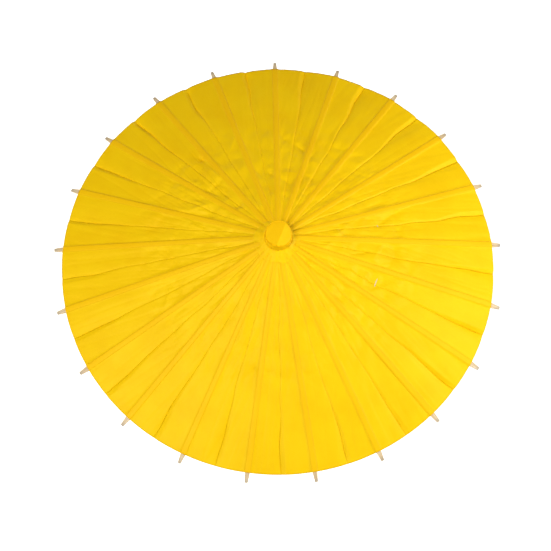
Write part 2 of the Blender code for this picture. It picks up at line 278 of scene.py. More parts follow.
class Wire:
    """A number that a shader works out, with the operators that add Math nodes."""

    def __init__(self, board: "Board", socket: bpy.types.NodeSocket) -> None:
        """Hold a socket of a board."""
        self.board = board
        self.socket = socket

    def _math(self, operation: str, first: "Wire | float", second: "Wire | float" = 0.0) -> "Wire":
        """Add a Math node of an operation on two values, and give its result."""
        return self.board.node("ShaderNodeMath", {"operation": operation}, {0: first, 1: second})

    def __add__(self, other: "Wire | float") -> "Wire":
        """This plus other."""
        return self._math("ADD", self, other)

    __radd__ = __add__

    def __sub__(self, other: "Wire | float") -> "Wire":
        """This minus other."""
        return self._math("SUBTRACT", self, other)

    def __rsub__(self, other: "Wire | float") -> "Wire":
        """Other minus this."""
        return self._math("SUBTRACT", other, self)

    def __mul__(self, other: "Wire | float") -> "Wire":
        """This times other."""
        return self._math("MULTIPLY", self, other)

    __rmul__ = __mul__

    def __truediv__(self, other: "Wire | float") -> "Wire":
        """This over other."""
        return self._math("DIVIDE", self, other)

    def __abs__(self) -> "Wire":
        """This without its sign."""
        return self._math("ABSOLUTE", self)

    def __pow__(self, other: float) -> "Wire":
        """This to a power."""
        return self._math("POWER", self, other)

    def sine(self) -> "Wire":
        """The sine of this, in radians."""
        return self._math("SINE", self)

    def cosine(self) -> "Wire":
        """The cosine of this, in radians."""
        return self._math("COSINE", self)

    def eased(self, low: float, high: float) -> "Wire":
        """Ease from 0 at low to 1 at high."""
        return self.board.node(
            "ShaderNodeMapRange",
            {"interpolation_type": "SMOOTHSTEP"},
            {"Value": self, "From Min": low, "From Max": high},
        )


class Board:
    """The nodes of one material."""

    def __init__(self, name: str) -> None:
        """Start a material with a Principled shader.

        Args:
            name: The material's name.
        """
        self.material = bpy.data.materials.new(name)
        self.material.use_nodes = True
        self.tree = self.material.node_tree
        self.shader = self.tree.nodes["Principled BSDF"]

    def node(
        self,
        kind: str,
        settings: dict[str, object] | None = None,
        inputs: dict[int | str, object] | None = None,
        output: int | str = 0,
    ) -> Wire:
        """Add a node.

        Args:
            kind: The node's type.
            settings: Its own settings, set first.
            inputs: The values or links of its sockets, by name or place.
            output: Which of its outputs is wanted.

        Returns:
            The output.
        """
        made = self.tree.nodes.new(kind)
        for key, value in (settings or {}).items():
            setattr(made, key, value)
        for key, value in (inputs or {}).items():
            self.feed(made.inputs[key], value)
        return Wire(self, made.outputs[output])

    def feed(self, socket: bpy.types.NodeSocket, value: object) -> None:
        """Link or set a socket.

        Args:
            socket: The socket.
            value: A Wire, or a plain value.
        """
        if isinstance(value, Wire):
            self.tree.links.new(value.socket, socket)
        else:
            socket.default_value = value

    def mix(self, factor: Wire | float, first: object, second: object) -> Wire:
        """Mix two colours.

        Args:
            factor: The share of the second.
            first: The first colour.
            second: The second colour.

        Returns:
            The mixed colour.
        """
        made = self.tree.nodes.new("ShaderNodeMix")
        made.data_type = "RGBA"
        sockets = {s.identifier: s for s in made.inputs}
        self.feed(sockets["Factor_Float"], factor)
        self.feed(sockets["A_Color"], first)
        self.feed(sockets["B_Color"], second)
        return Wire(self, {s.identifier: s for s in made.outputs}["Result_Color"])

    def place(self) -> Wire:
        """The point on the piece, in the object's own coordinates."""
        return self.node("ShaderNodeTexCoord", output="Object")

    def parts(self, vector: Wire) -> tuple[Wire, Wire, Wire]:
        """The X, Y and Z of a vector."""
        split = self.node("ShaderNodeSeparateXYZ", {}, {0: vector}).socket.node
        return tuple(Wire(self, socket) for socket in split.outputs)

    def joined(self, x: object, y: object, z: object) -> Wire:
        """The vector with this X, Y and Z."""
        return self.node("ShaderNodeCombineXYZ", {}, {0: x, 1: y, 2: z})

    def attribute(self, name: str) -> Wire:
        """A number that the mesh carries at each point."""
        return self.node("ShaderNodeAttribute", {"attribute_name": name}, output="Fac")

    def noise(
        self, vector: Wire, scale: float, detail: float = 3.0, roughness: float = 0.55
    ) -> Wire:
        """Soft noise.

        Args:
            vector: Where it is read.
            scale: How fine it is.
            detail: How many finer layers it has.
            roughness: How strong those are.

        Returns:
            A number around 0.5.
        """
        return self.node(
            "ShaderNodeTexNoise",
            {},
            {"Vector": vector, "Scale": scale, "Detail": detail, "Roughness": roughness},
        )

    def bump(self, height: Wire, strength: float, distance: float) -> Wire:
        """The normal for a height around 0 to 1, where 1 stands out by distance in metres."""
        inputs = {"Height": height, "Strength": strength, "Distance": distance}
        return self.node("ShaderNodeBump", {}, inputs)

    def finish(self, **values: object) -> bpy.types.Material:
        """Feed the shader's sockets.

        Args:
            values: The sockets, named with underscores for spaces.

        Returns:
            The material.
        """
        for key, value in values.items():
            self.feed(self.shader.inputs[key.replace("_", " ")], value)
        return self.material


# ------------------------
# Finishes
# ------------------------


@dataclass(frozen=True)
class OiledPaperFinish:
    """Yellow oiled paper, thin and a little glossy, with fibres, faint stains and a painted rib
    glow.
    """

    name: str = "oiled_paper_yellow"
    paper: Colour = (0.955, 0.605, 0.003, 1.0)
    deep: Colour = (0.920, 0.550, 0.002, 1.0)
    # The colour of the painted glow: light bounced off a rib or the head back through the thin
    # paper.
    rib_glow_tint: Colour = (0.985, 0.500, 0.004, 1.0)
    sheen_tint: Colour = (1.0, 0.8, 0.2, 1.0)
    rib_half: float = 2.6 * MM
    rib_glow_share: float = 0.4
    roughness: float = 0.5

    def make(self) -> bpy.types.Material:
        """Make the material.

        Returns:
            The material, which reads the attributes across and along.
        """
        board = Board(self.name)
        place = board.place()
        across = abs(board.attribute("across"))
        cloud = board.noise(place, scale=26.0, detail=4.0, roughness=0.6)
        colour = board.mix(cloud.eased(0.35, 0.75), self.paper, self.deep)
        fibre = board.noise(place, scale=900.0, detail=2.0, roughness=0.5)
        colour = board.mix(fibre.eased(0.55, 0.8) * 0.18, colour, self.deep)
        # Painted light: where a rib or the head lies under the paper, the colour turns warmer and
        # oranger, a painted glow of light bounced off the wood back through the paper; patchy
        # makes it uneven.
        rib_glow_mask = (1.0 - across.eased(self.rib_half * 0.86, self.rib_half * 1.3)) * self.rib_glow_share
        patchy = 0.7 + 0.5 * board.noise(place, scale=60.0, detail=2.0)
        colour = board.mix(rib_glow_mask * patchy, colour, self.rib_glow_tint)
        sheen = board.noise(place, scale=45.0, detail=3.0, roughness=0.6)
        grain = board.noise(place, scale=1500.0, detail=3.0, roughness=0.6)
        ripple = board.noise(place, scale=160.0, detail=3.0, roughness=0.55)
        normal = board.bump(grain * 0.35 + ripple, 0.5, 0.35 * MM)
        return board.finish(
            Base_Color=colour,
            Roughness=self.roughness - 0.1 + 0.2 * sheen,
            Normal=normal,
            Specular_IOR_Level=0.3,
            Specular_Tint=self.sheen_tint,
        )


@dataclass(frozen=True)
class BambooFinish:
    """Split bamboo: pale straw with fine fibres along the part and brownish ends."""

    name: str
    grain: Grain
    pale: Colour = (0.80, 0.64, 0.40, 1.0)
    straw: Colour = (0.62, 0.43, 0.21, 1.0)
    dark: Colour = (0.30, 0.19, 0.09, 1.0)
    worn: Colour = (0.36, 0.31, 0.25, 1.0)
    slope: float = 0.0
    rib_count: int = 21
    roughness: float = 0.45
    tip_radius: float | None = None
    worn_length: float = 5 * MM

    def fibres(self, board: Board) -> tuple[Wire, Wire]:
        """Lay the fibres' coordinates along the part.

        Args:
            board: The material's nodes.

        Returns:
            The vector that runs with the fibres, and the distance from the shaft's axis.
        """
        x, y, z = board.parts(board.place())
        radius = (x * x + y * y) ** 0.5
        if self.grain is Grain.UPRIGHT:
            return board.joined(x * 40.0, y * 40.0, z), radius
        turn = board.node("ShaderNodeMath", {"operation": "ARCTAN2"}, {0: x, 1: y})
        pitch = math.tau / self.rib_count
        near = board.node(
            "ShaderNodeMath", {"operation": "WRAP"}, {0: turn, 1: pitch / 2, 2: -pitch / 2}
        )
        sign = -1.0 if self.grain is Grain.DOWN_THE_RIB else 1.0
        lean_sin, lean_cos = sign * math.sin(self.slope), math.cos(self.slope)
        sideways = radius * near.sine()
        outward = radius * near.cosine()
        along = outward * lean_cos + z * lean_sin
        upward = z * lean_cos - outward * lean_sin
        which = board.node("ShaderNodeMath", {"operation": "ROUND"}, {0: turn / pitch})
        return board.joined(along + which * 0.37, sideways * 40.0, upward * 40.0), radius

    def make(self) -> bpy.types.Material:
        """Make the material.

        Returns:
            The material.
        """
        board = Board(self.name)
        vector, radius = self.fibres(board)
        streak = board.noise(vector, scale=26.0, detail=5.0, roughness=0.6)
        fine = board.noise(vector, scale=110.0, detail=3.0, roughness=0.6)
        colour = board.mix(streak.eased(0.35, 0.7), self.pale, self.straw)
        colour = board.mix(fine.eased(0.6, 0.8) * 0.35, colour, self.dark)
        if self.tip_radius is not None:
            end = radius.eased(self.tip_radius - self.worn_length, self.tip_radius)
            colour = board.mix(end * (0.35 + 0.5 * streak), colour, self.worn)
        return board.finish(
            Base_Color=colour,
            Roughness=self.roughness + 0.2 * fine,
            Normal=board.bump(streak + 0.5 * fine, 0.35, 0.25 * MM),
        )


@dataclass(frozen=True)
class TurnedWoodFinish:
    """Light turned wood: upright grain crossed by the fine marks of the lathe."""

    name: str = "turned_light_wood"
    pale: Colour = (0.66, 0.47, 0.27, 1.0)
    ring: Colour = (0.45, 0.27, 0.12, 1.0)
    pores: Colour = (0.20, 0.11, 0.05, 1.0)
    roughness: float = 0.42

    def make(self) -> bpy.types.Material:
        """Make the material.

        Returns:
            The material.
        """
        board = Board(self.name)
        x, y, z = board.parts(board.place())
        grain = board.noise(board.joined(x, y, z * 0.12), scale=260.0, detail=5.0, roughness=0.62)
        pore = board.noise(board.joined(x, y, z * 0.05), scale=1500.0, detail=2.0, roughness=0.5)
        lathe = board.noise(board.joined(0.0, 0.0, z), scale=2600.0, detail=2.0, roughness=0.5)
        colour = board.mix(grain.eased(0.38, 0.68), self.pale, self.ring)
        colour = board.mix(pore.eased(0.62, 0.75) * 0.5, colour, self.pores)
        return board.finish(
            Base_Color=colour,
            Roughness=self.roughness + 0.2 * pore,
            Normal=board.bump(lathe * 0.5 + grain, 0.3, 0.2 * MM),
        )


@dataclass(frozen=True)
class CottonThreadFinish:
    """Off-white cotton thread with a tight twist."""

    name: str = "cotton_thread_white"
    light: Colour = (0.82, 0.76, 0.62, 1.0)
    shade: Colour = (0.50, 0.42, 0.30, 1.0)
    twist: tuple[float, float, float] = (6300.0, 5200.0, 3000.0)

    def make(self) -> bpy.types.Material:
        """Make the material.

        Returns:
            The material.
        """
        board = Board(self.name)
        x, y, z = board.parts(board.place())
        turn = board.node("ShaderNodeMath", {"operation": "ARCTAN2"}, {0: y, 1: x})
        radius = (x * x + y * y) ** 0.5
        along, upward, outward = self.twist
        wound = (turn * radius * along + z * upward + radius * outward).sine()
        twist = wound * 0.5 + 0.5
        fuzz = board.noise(board.place(), scale=5200.0, detail=2.0)
        colour = board.mix(twist * 0.45 + fuzz * 0.3, self.light, self.shade)
        normal = board.bump(1.0 - twist, 0.6, 0.12 * MM)
        return board.finish(Base_Color=colour, Roughness=0.88 + 0.1 * fuzz, Normal=normal)


@dataclass(frozen=True)
class SteelFinish:
    """Drawn steel wire, dull with fine scratches."""

    name: str = "drawn_steel"
    bright: Colour = (0.60, 0.60, 0.61, 1.0)
    dull: Colour = (0.34, 0.32, 0.30, 1.0)

    def make(self) -> bpy.types.Material:
        """Make the material.

        Returns:
            The material.
        """
        board = Board(self.name)
        haze = board.noise(board.place(), scale=900.0, detail=3.0)
        return board.finish(
            Base_Color=board.mix(haze.eased(0.5, 0.75), self.bright, self.dull),
            Roughness=0.28 + 0.3 * haze,
            Metallic=1.0,
        )


# ------------------------
# Where the ribs are
# ------------------------


@dataclass(frozen=True)
class RibAxes:
    """The directions of one open rib, from its hinge."""

    origin: Vector
    along: Vector
    across: Vector
    up: Vector

    def point(self, along: float, across: float, up: float) -> Vector:
        """A point given by its distances along, across and above the rib's eye line."""
        return self.origin + self.along * along + self.across * across + self.up * up


@dataclass(frozen=True)
class RibCage:
    """The open ribs, as the frame's joints place them."""

    count: int
    hinge_radius: float
    hinge_height: float
    link: float
    slope: float

    @classmethod
    def from_joints(cls, joints: Sequence[dict]) -> "RibCage":
        """Read the rib cage from the frame.

        Args:
            joints: The frame's joints.

        Returns:
            The rib cage.
        """
        hinges = [joint for joint in joints if joint["type"] == "hinge"]
        places = {joint["name"]: Vector(joint["pos_m"]) for joint in hinges}
        hinge, knee = places["rib_01_hinge"], places["stretcher_01_hinge"]
        out = knee.xy.length - hinge.xy.length
        drop = hinge.z - knee.z
        return cls(
            count=sum(name.startswith("rib_") for name in places),
            hinge_radius=hinge.xy.length,
            hinge_height=hinge.z,
            link=math.hypot(out, drop),
            slope=math.atan2(drop, out),
        )

    @property
    def half_pitch(self) -> float:
        """Half the angle between two ribs."""
        return math.pi / self.count

    def azimuth(self, index: float) -> float:
        """The direction of rib index, counted from 0 at +Y."""
        return math.pi / 2 + math.tau * index / self.count

    def axes(self, index: float) -> RibAxes:
        """The directions of rib index.

        Args:
            index: The rib, counted from 0.

        Returns:
            Its axes.
        """
        turn = self.azimuth(index)
        out = level(turn)
        sin, cos = math.sin(self.slope), math.cos(self.slope)
        return RibAxes(
            origin=out * self.hinge_radius + Vector((0, 0, self.hinge_height)),
            along=out * cos - Vector((0, 0, sin)),
            across=Vector((-math.sin(turn), math.cos(turn), 0)),
            up=out * sin + Vector((0, 0, cos)),
        )

    def along_at(self, radius: float, lift: float) -> float:
        """The distance along a rib at which a point lifted off its eye line has a radius."""
        return (radius - self.hinge_radius - lift * math.sin(self.slope)) / math.cos(self.slope)

    def body(self, index: int) -> str:
        """The name of the body of rib index, counted from 0."""
        return f"rib_{index % self.count + 1:02d}"


# ------------------------
# The paper
# ------------------------


@dataclass(frozen=True)
class Crease:
    """A straight crease across the canopy, seen from above, with a facet on each side.

    The spans, in millimetres, are those that random creases are drawn from.
    """

    RADIUS_SPAN: ClassVar[tuple[float, float]] = (30, 118)
    HALF_LENGTH_SPAN: ClassVar[tuple[float, float]] = (8, 24)
    WIDTH_SPAN: ClassVar[tuple[float, float]] = (2.0, 5)
    HEIGHT_SPAN: ClassVar[tuple[float, float]] = (0.6, 1.4)
    HEADING_SPREAD: ClassVar[float] = 0.75

    middle: Vector
    run: Vector
    half_length: float
    width: float
    height: float

    @classmethod
    def thrown(cls, luck: random.Random, turn: float, spread: float) -> "Crease":
        """A crease at a random place.

        Args:
            luck: The source of random numbers.
            turn: The direction from the shaft near which it lies.
            spread: How far it may be from that direction.

        Returns:
            The crease.
        """
        turn += luck.gauss(0, spread)
        radius = luck.uniform(*cls.RADIUS_SPAN) * MM
        heading = turn + math.pi / 2 + luck.gauss(0, cls.HEADING_SPREAD)
        return cls(
            middle=level(turn).xy * radius,
            run=level(heading).xy,
            half_length=luck.uniform(*cls.HALF_LENGTH_SPAN) * MM,
            width=luck.uniform(*cls.WIDTH_SPAN) * MM,
            height=luck.choice((-1, 1)) * luck.uniform(*cls.HEIGHT_SPAN) * MM,
        )

    def at(self, place: Vector) -> float:
        """How high the crease stands at a place.

        Args:
            place: The place, seen from above.

        Returns:
            The height.
        """
        away = place - self.middle
        share = away.dot(self.run) / self.half_length
        if abs(share) >= 1:
            return 0.0
        side = abs(away.cross(self.run)) / self.width
        return self.height * (1 - share * share) ** 2 * math.exp(-side)


@dataclass(frozen=True)
class CrushedArea:
    """A direction from the shaft round which the paper was crushed."""

    turn: float
    spread: float
    creases: int


@dataclass(frozen=True)
class ValleyShape:
    """The sizes of the fold that runs down the middle of each gore.

    It wanders by its sway, bends once at its kink and opens over its last stretch to the rim. The
    steep side and the slow side each have a width at the start and grow towards the rim.
    """

    sway: float = 1.6 * MM
    sway_pitch: float = 30 * MM
    most_sway: float = 0.3
    kink: float = 3.0 * MM
    kink_from_rim: float = 28 * MM
    kink_reach: float = 14 * MM
    opening_length: float = 78 * MM
    opening_power: float = 1.3
    steep_start: float = 1.2 * MM
    steep_growth: float = 2.8 * MM
    steep_spread: float = 1.6 * MM
    steep_share: float = 0.25
    slow_start: float = 1.3 * MM
    slow_growth: float = 5.2 * MM
    depth_start: float = 0.5 * MM
    depth_growth: float = 1.8 * MM
    depth_spread: float = 1.0 * MM
    least_gore: float = 7 * MM
    lip: float = 9 * MM
    lip_share: float = 0.45


@dataclass(frozen=True)
class Wrinkles:
    """The sizes of the small wrinkles: crushed, pulled along the ribs, lined and wavy."""

    belt: tuple[float, float] = (40 * MM, 110 * MM)
    belt_edge: float = 30 * MM
    crushed_pitch: float = 24 * MM
    crushed_fade: float = 0.4
    crushed_height: float = 2.1 * MM
    pull_width: float = 9 * MM
    pull_length: float = 70 * MM
    pull_height: float = 0.35 * MM
    line_width: float = 6.5 * MM
    line_length: float = 110 * MM
    line_share: float = 0.16
    line_depth: float = 0.2 * MM
    wave_pitch: float = 30 * MM
    wave_height: float = 0.3 * MM


@dataclass
class PaperCanopy:
    """The paper glued over the ribs: a strip on each rib and two folds in each gore."""

    cage: RibCage
    finish: bpy.types.Material
    rim_radius: float
    lift: float = 2.15 * MM
    thickness: float = 0.25 * MM
    start: float = 1.5 * MM
    strip_half: float = 1.6 * MM
    strip_spread: float = 0.0062
    strip_crown: float = 0.12 * MM
    step_width: float = 0.8 * MM
    step_share: float = 0.2
    near_step: float = 0.2 * MM
    far_step: float = 0.6 * MM
    step_spread: float = 0.9
    step_pitch: float = 45 * MM
    taut: float = 3.5 * MM
    rim_bulge: float = 1.9 * MM
    bulge_length: float = 40 * MM
    softest_turn: float = math.radians(-140)
    softness: float = 0.42
    fold: ValleyShape = ValleyShape()
    wrinkles: Wrinkles = Wrinkles()
    crushed: tuple[CrushedArea, ...] = (
        CrushedArea(2.45, 0.45, 44),
        CrushedArea(-0.45, 0.5, 60),
        CrushedArea(0, 3, 30),
    )
    seed: int = 21
    columns: int = 24
    step_columns: int = 2
    steep_columns: int = 5
    rows: int = 140
    strip_columns: int = 6
    keep_across: float = 0.06
    fold_inward: float = 0.24
    end: float = field(init=False)
    marks: list[list[Crease]] = field(init=False)

    def __post_init__(self) -> None:
        """Work out where the paper ends and where it was crushed."""
        self.end = self.cage.along_at(self.rim_radius, self.lift)
        luck = random.Random(self.seed)
        thrown = [
            Crease.thrown(luck, area.turn, area.spread)
            for area in self.crushed
            for _ in range(area.creases)
        ]
        self.marks = []
        for gore in range(self.cage.count):
            out = level(self.cage.azimuth(gore + 0.5)).xy
            near = [
                mark
                for mark in thrown
                if mark.middle.dot(out) > 0
                and abs(mark.middle.cross(out))
                < mark.middle.length * self.cage.half_pitch + mark.half_length + 2 * mark.width
            ]
            self.marks.append(near)

    @property
    def rim_height(self) -> float:
        """The height of the paper's rim on the ribs."""
        return self.cage.axes(0).point(self.end, 0, self.lift).z

    def seam_half(self, along: float) -> float:
        """Half the width of the strip over a rib."""
        return self.strip_half + self.strip_spread * along

    def gore_width(self, along: float) -> float:
        """How wide the gore is between its two strips.

        Args:
            along: The distance along the ribs.

        Returns:
            The width, on a straight line across the gore.
        """
        cage = self.cage
        radius = (
            cage.hinge_radius
            + along * math.cos(cage.slope)
            + self.lift * math.sin(cage.slope)
        )
        half = cage.half_pitch
        return 2 * (radius * math.sin(half) - self.seam_half(along) * math.cos(half))

    def valley_at(self, gore: int, along: float) -> float:
        """Where the valley lies between the two strips of a gore.

        Args:
            gore: The gore.
            along: The distance along the ribs.

        Returns:
            The distance from the near strip.
        """
        fold, half = self.fold, self.gore_width(along) / 2
        shaky = wobble(along / fold.sway_pitch, gore * 7.31, 0.4)
        bent = wobble(0.7, gore * 3.17, 9.2)
        from_kink = (self.end - along - fold.kink_from_rim) / fold.kink_reach
        sway = shaky * fold.sway + bent * fold.kink * math.exp(-(from_kink**2))
        most = fold.most_sway * half
        return half + max(-most, min(most, sway))

    def near_rim(self, along: float) -> float:
        """How much the valley has opened towards the rim, from 0 to 1."""
        opened = smooth_step(self.end - self.fold.opening_length, self.end, along)
        return opened**self.fold.opening_power

    def steep_width(self, gore: int, along: float) -> float:
        """How wide the steep side of a valley is.

        Args:
            gore: The gore.
            along: The distance along the ribs.

        Returns:
            The width, which grows towards the rim.
        """
        fold = self.fold
        uneven = fold.steep_spread * wobble(gore * 2.7, 8.8, 4.2)
        wide = fold.steep_start + (fold.steep_growth + uneven) * self.near_rim(along)
        return min(wide, fold.steep_share * self.gore_width(along))

    def valley(self, gore: int, along: float, reach: float) -> float:
        """How deep the paper lies in the fold between two ribs.

        One side of the fold is steep and narrow, and the other rises slowly.

        Args:
            gore: The gore.
            along: The distance along the ribs.
            reach: The distance from the near strip.

        Returns:
            The height, 0 or less.
        """
        fold, opened = self.fold, self.near_rim(along)
        uneven = wobble(3.3, gore * 5.7, 1.9)
        depth = fold.depth_start + (fold.depth_growth + fold.depth_spread * uneven) * opened
        depth *= smooth_step(0, fold.least_gore, self.gore_width(along))
        depth *= 1 - fold.lip_share * smooth_step(self.end - fold.lip, self.end, along)
        depth *= self.crispness(gore)
        past = reach - self.valley_at(gore, along)
        if past < 0:
            return -depth * math.exp(past / (fold.slow_start + fold.slow_growth * opened))
        return -depth * max(0.0, 1 - past / self.steep_width(gore, along))

    def creases(self, gore: int, along: float, reach: float, flat: Vector) -> float:
        """How high the paper stands where it was crushed, pulled and creased.

        Args:
            gore: The gore.
            along: The distance along the ribs.
            reach: The distance from the near strip.
            flat: The point on the flat gore.

        Returns:
            The height.
        """
        small = self.wrinkles
        folded = sum(mark.at(flat.xy) for mark in self.marks[gore])
        belt = bump_between(*small.belt, small.belt_edge, along)
        seen = Vector((flat.x, flat.y, 0))
        crushed = crumple(seen, small.crushed_pitch, fade=small.crushed_fade) * belt
        pull = wobble(reach / small.pull_width, along / small.pull_length, gore * 4.1)
        line = wobble(reach / small.line_width, along / small.line_length, gore * 9.7)
        lined = max(0.0, 1 - abs(line) / small.line_share)
        wave = wobble(flat.y / small.wave_pitch, flat.x / small.wave_pitch, 0.3)
        return (
            folded
            + crushed * small.crushed_height
            + pull * small.pull_height
            - lined * small.line_depth
            + wave * small.wave_height
        )

    def crispness(self, gore: int) -> float:
        """How sharply a gore is folded: 1, or less towards where the paper is softest."""
        away = self.cage.azimuth(gore + 0.5) - self.softest_turn
        return 1 - self.softness * max(0.0, math.cos(away))

    def unevenness(self, seam: float, along: float) -> float:
        """How strongly the paper steps down beside a rib, around 1."""
        shaky = wobble(seam * 5.3, along / self.step_pitch, 2.2)
        return 1 + self.step_spread * shaky

    def relief(self, gore: int, along: float, reach: float, flat: Vector) -> float:
        """How far the paper stands above the flat gore.

        Args:
            gore: The gore.
            along: The distance along the ribs.
            reach: The distance from the near strip.
            flat: The point on the flat gore.

        Returns:
            The height.
        """
        width = self.gore_width(along)
        edge = min(reach, width - reach)
        near_step = self.near_step * self.unevenness(gore, along)
        far_step = self.far_step * self.unevenness(gore + 0.5, along)
        step = near_step + (far_step - near_step) * reach / width
        step *= -min(1.0, edge / self.step_width) * self.crispness(gore)
        free = smooth_step(0, self.taut, reach) * smooth_step(0, self.taut, width - reach)
        valley = self.valley(gore, along, reach) * min(1.0, edge / (2 * self.step_width))
        return step + valley + self.creases(gore, along, reach, flat) * free

    def gore_point(self, gore: int, along: float, reach: float) -> Vector:
        """A point of the paper in a gore.

        Args:
            gore: The gore, which lies after the rib of the same number.
            along: The distance along the ribs.
            reach: The distance from the near strip.

        Returns:
            The point.
        """
        near = self.cage.axes(gore)
        middle = self.cage.axes(gore + 0.5)
        seam = near.point(along, self.seam_half(along), self.lift)
        flat = seam + middle.across * reach
        from_middle = 2 * reach / self.gore_width(along) - 1
        round_rim = smooth_step(self.end - self.bulge_length, self.end, along)
        flat += middle.along * self.rim_bulge * round_rim * (1 - from_middle**2)
        return flat + middle.up * self.relief(gore, along, reach, flat)

    def build_strip(self, index: int) -> bpy.types.Object:
        """The paper glued on one rib.

        Args:
            index: The rib.

        Returns:
            The piece.
        """
        axes = self.cage.axes(index)

        def place(u: float, v: float) -> tuple[Vector, float, float]:
            """A point of the strip.

            Args:
                u: The share across, from 0 to 1.
                v: The share along, from 0 to 1.

            Returns:
                The point, its distance from the rib's middle line and its distance along the rib.
            """
            along = self.start + (self.end - self.start) * v
            half = self.seam_half(along)
            across = half * (2 * u - 1)
            crown = self.strip_crown * (1 - (2 * u - 1) ** 2)
            return axes.point(along, across, self.lift + crown), across, along

        return shaped_grid(f"rib_paper_{index + 1:02d}", self.strip_columns, self.rows, place)

    def build_fold(self, gore: int, side: Side) -> bpy.types.Object:
        """One half of a gore, from a rib to the valley.

        Args:
            gore: The gore.
            side: Which rib the fold hangs from.

        Returns:
            The piece.
        """

        def place(u: float, v: float) -> tuple[Vector, float, float]:
            """A point of the fold.

            Args:
                u: The share across, from 0 to 1.
                v: The share along, from 0 to 1.

            Returns:
                The point, its distance from the rib's middle line and its distance along the rib.
            """
            along = self.start + (self.end - self.start) * v
            width, valley = self.gore_width(along), self.valley_at(gore, along)
            own = valley if side is Side.NEAR else width - valley
            step = min(self.step_width, self.step_share * own)
            stops = [(0.0, 0.0), (self.step_columns / self.columns, step), (1.0, own)]
            if side is Side.FAR:
                steep = self.steep_width(gore, along)
                stops.insert(2, (1 - self.steep_columns / self.columns, own - steep))
            from_seam = follow(stops, u)
            reach = from_seam if side is Side.NEAR else width - from_seam
            return self.gore_point(gore, along, reach), self.seam_half(along) + from_seam, along

        name = f"gore_{gore + 1:02d}_{side.value}"
        return shaped_grid(name, self.columns, self.rows, place)

    def fold_away(self, piece: bpy.types.Object, rib: int, side: Side) -> None:
        """Give a fold a mesh of its own; the plane that it would turn into as the umbrella closes
        is worked out, but nothing moves it.

        Args:
            piece: The fold.
            rib: The rib that it hangs from.
            side: Which side of the gore it is.
        """
        axes = self.cage.axes(rib)
        sign = 1 if side is Side.NEAR else -1
        shift = (self.end - self.start) * self.strip_spread
        seam = (axes.along * (self.end - self.start) + axes.across * sign * shift).normalized()
        sideways = axes.up.cross(seam) * sign
        anchor = axes.point(self.start, sign * self.seam_half(self.start), self.lift)
        moved = 1 - self.keep_across
        normal = sideways + axes.up * self.fold_inward
        keep = 1 - moved * (1 + self.fold_inward**2)
        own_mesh(piece)

    def fold_area(self) -> float:
        """The flat area of half a gore, a trapezium between the seam and the valley."""
        widths = self.gore_width(self.start) + self.gore_width(self.end)
        return widths / 4 * (self.end - self.start)

    def build(self) -> None:
        """Build, dress and place every piece of the canopy."""
        length = self.end - self.start
        width = self.gore_width(self.end) / 2
        for index in range(self.cage.count):
            strip = self.build_strip(index)
            thicken(strip, self.thickness)
            dress(strip, self.finish, "canopy_paper", self.cage.body(index))
        for gore in range(self.cage.count):
            for side in Side:
                rib = (gore if side is Side.NEAR else gore + 1) % self.cage.count
                fold = self.build_fold(gore, side)
                thicken(fold, self.thickness)
                dress(fold, self.finish, "canopy_paper", self.cage.body(rib))
                self.fold_away(fold, rib, side)
                self.cage.body(rib)
                self.fold_area()


